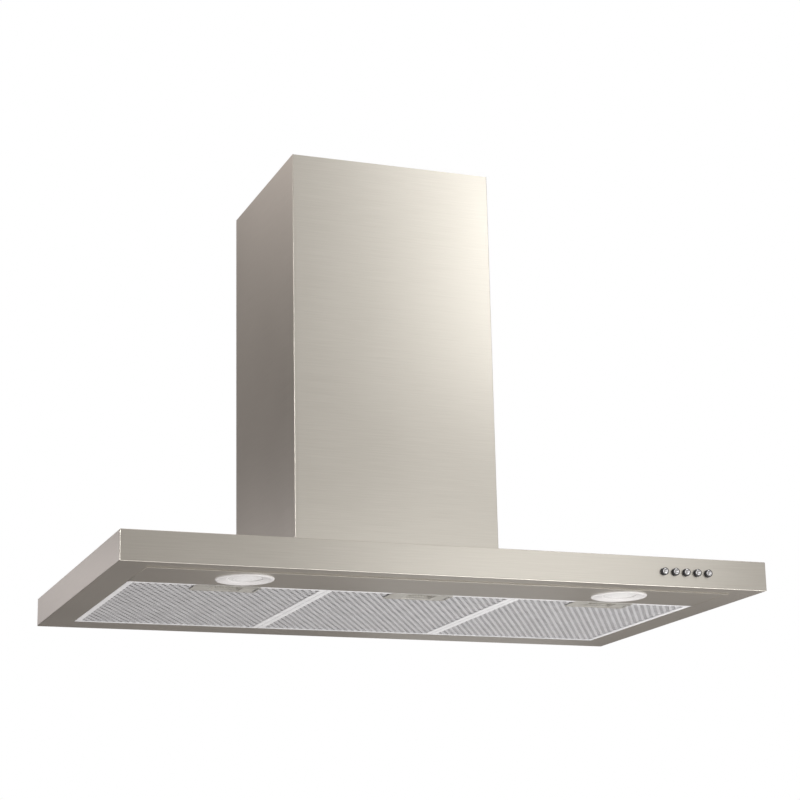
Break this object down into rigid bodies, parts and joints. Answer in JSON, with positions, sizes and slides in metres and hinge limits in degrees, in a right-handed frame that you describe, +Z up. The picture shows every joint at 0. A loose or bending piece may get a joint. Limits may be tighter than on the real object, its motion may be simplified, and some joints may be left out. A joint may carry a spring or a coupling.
{
  "type": "range hood",
  "caption": "Wall chimney range hood: flat stainless canopy with grease filters, lamps, push buttons, fan, duct collar and a telescopic chimney cover.",
  "frame": {"origin": "on the wall plane, at the middle of the hood's width, level with the canopy's underside", "axes": "+X to the right as seen from the front, +Y towards the wall, +Z up"},
  "size_m": [0.9, 0.525, 0.655],
  "materials": {
    "stainless": "fine horizontal brushing, warm champagne tint",
    "lamp_ring": "satin pale enamel",
    "frosted_glass": "frosted",
    "bulb_glass": "clear",
    "ceramic": "glazed",
    "filter_aluminium": "satin",
    "mesh_aluminium": "bright expanded mesh",
    "latch_metal": "satin",
    "spring_steel": "bright",
    "button_chrome": "polished",
    "black_plastic": "matte moulded",
    "white_plastic": "matte moulded",
    "zinc_steel": "zinc plated",
    "galvanised": "spangled zinc coating",
    "motor_enamel": "semi-gloss enamel",
    "can_aluminium": "satin"
  },
  "bodies": {
    "hood": {"canopy_shell": "stainless", "light_panel": "stainless", "lower_cover": "stainless", "lamp_bezel_left": "lamp_ring", "lamp_glass_left": "frosted_glass", "lamp_housing_left": "galvanised", "lamp_socket_left": "ceramic", "lamp_bulb_left": "bulb_glass", "lamp_bezel_right": "lamp_ring", "lamp_glass_right": "frosted_glass", "lamp_housing_right": "galvanised", "lamp_socket_right": "ceramic", "lamp_bulb_right": "bulb_glass", "switch_block": "black_plastic", "junction_box": "black_plastic", "junction_lid": "black_plastic", "cable_gland": "black_plastic", "outlet_collar": "black_plastic", "scroll_housing": "black_plastic", "switch_nuts": "zinc_steel", "sheet_screws": "zinc_steel", "flap_rod": "zinc_steel", "fan_box": "galvanised", "motor_spider": "galvanised", "cover_clips": "galvanised", "motor": "motor_enamel", "capacitor": "can_aluminium", "lamp_driver": "white_plastic"},
    "filter_left": {"filter_frame_left": "filter_aluminium", "filter_net_left": "mesh_aluminium", "filter_core_left": "mesh_aluminium", "latch_plate_left": "latch_metal", "latch_spring_left": "spring_steel"},
    "latch_left": {"latch_slide_left": "latch_metal"},
    "filter_centre": {"filter_frame_centre": "filter_aluminium", "filter_net_centre": "mesh_aluminium", "filter_core_centre": "mesh_aluminium", "latch_plate_centre": "latch_metal", "latch_spring_centre": "spring_steel"},
    "latch_centre": {"latch_slide_centre": "latch_metal"},
    "filter_right": {"filter_frame_right": "filter_aluminium", "filter_net_right": "mesh_aluminium", "filter_core_right": "mesh_aluminium", "latch_plate_right": "latch_metal", "latch_spring_right": "spring_steel"},
    "latch_right": {"latch_slide_right": "latch_metal"},
    "button_1": {"push_button_1": "button_chrome"},
    "button_2": {"push_button_2": "button_chrome"},
    "button_3": {"push_button_3": "button_chrome"},
    "button_4": {"push_button_4": "button_chrome"},
    "button_5": {"push_button_5": "button_chrome"},
    "fan": {"fan_wheel": "galvanised", "motor_shaft": "zinc_steel"},
    "flap_front": {"flap_front": "black_plastic"},
    "flap_rear": {"flap_rear": "black_plastic"},
    "upper_chimney": {"upper_cover": "stainless", "upper_bracket": "galvanised", "bracket_screws": "zinc_steel"}
  },
  "joints": [
    {"name": "filter_left_swing", "type": "hinge", "parent": "hood", "child": "filter_left", "pos_m": [-0.27167, -0.05, 0.0015], "axis": [1, 0, 0], "range_deg": [0, 60]},
    {"name": "latch_left_slide", "type": "slide", "parent": "filter_left", "child": "latch_left", "axis": [0, 1, 0], "range_m": [0, 0.005], "stiffness_N_per_m": 300, "springref_m": -0.003, "deforming": ["latch_spring_left"]},
    {"name": "filter_centre_swing", "type": "hinge", "parent": "hood", "child": "filter_centre", "pos_m": [0, -0.05, 0.0015], "axis": [1, 0, 0], "range_deg": [0, 60]},
    {"name": "latch_centre_slide", "type": "slide", "parent": "filter_centre", "child": "latch_centre", "axis": [0, 1, 0], "range_m": [0, 0.005], "stiffness_N_per_m": 300, "springref_m": -0.003, "deforming": ["latch_spring_centre"]},
    {"name": "filter_right_swing", "type": "hinge", "parent": "hood", "child": "filter_right", "pos_m": [0.27167, -0.05, 0.0015], "axis": [1, 0, 0], "range_deg": [0, 60]},
    {"name": "latch_right_slide", "type": "slide", "parent": "filter_right", "child": "latch_right", "axis": [0, 1, 0], "range_m": [0, 0.005], "stiffness_N_per_m": 300, "springref_m": -0.003, "deforming": ["latch_spring_right"]},
    {"name": "button_1_push", "type": "slide", "parent": "hood", "child": "button_1", "axis": [0, 1, 0], "range_m": [0, 0.003], "stiffness_N_per_m": 400, "springref_m": -0.002},
    {"name": "button_2_push", "type": "slide", "parent": "hood", "child": "button_2", "axis": [0, 1, 0], "range_m": [0, 0.003], "stiffness_N_per_m": 400, "springref_m": -0.002},
    {"name": "button_3_push", "type": "slide", "parent": "hood", "child": "button_3", "axis": [0, 1, 0], "range_m": [0, 0.003], "stiffness_N_per_m": 400, "springref_m": -0.002},
    {"name": "button_4_push", "type": "slide", "parent": "hood", "child": "button_4", "axis": [0, 1, 0], "range_m": [0, 0.003], "stiffness_N_per_m": 400, "springref_m": -0.002},
    {"name": "button_5_push", "type": "slide", "parent": "hood", "child": "button_5", "axis": [0, 1, 0], "range_m": [0, 0.003], "stiffness_N_per_m": 400, "springref_m": -0.002},
    {"name": "fan_spin", "type": "hinge", "parent": "hood", "child": "fan", "pos_m": [0, -0.146, 0.1595], "axis": [1, 0, 0], "continuous": true},
    {"name": "flap_front_swing", "type": "hinge", "parent": "hood", "child": "flap_front", "pos_m": [0, -0.13, 0.308], "axis": [-1, 0, 0], "range_deg": [0, 75]},
    {"name": "flap_rear_swing", "type": "hinge", "parent": "hood", "child": "flap_rear", "pos_m": [0, -0.13, 0.308], "axis": [1, 0, 0], "range_deg": [0, 75]},
    {"name": "upper_chimney_slide", "type": "slide", "parent": "hood", "child": "upper_chimney", "axis": [0, 0, 1], "range_m": [0, 0.4]}
  ]
}
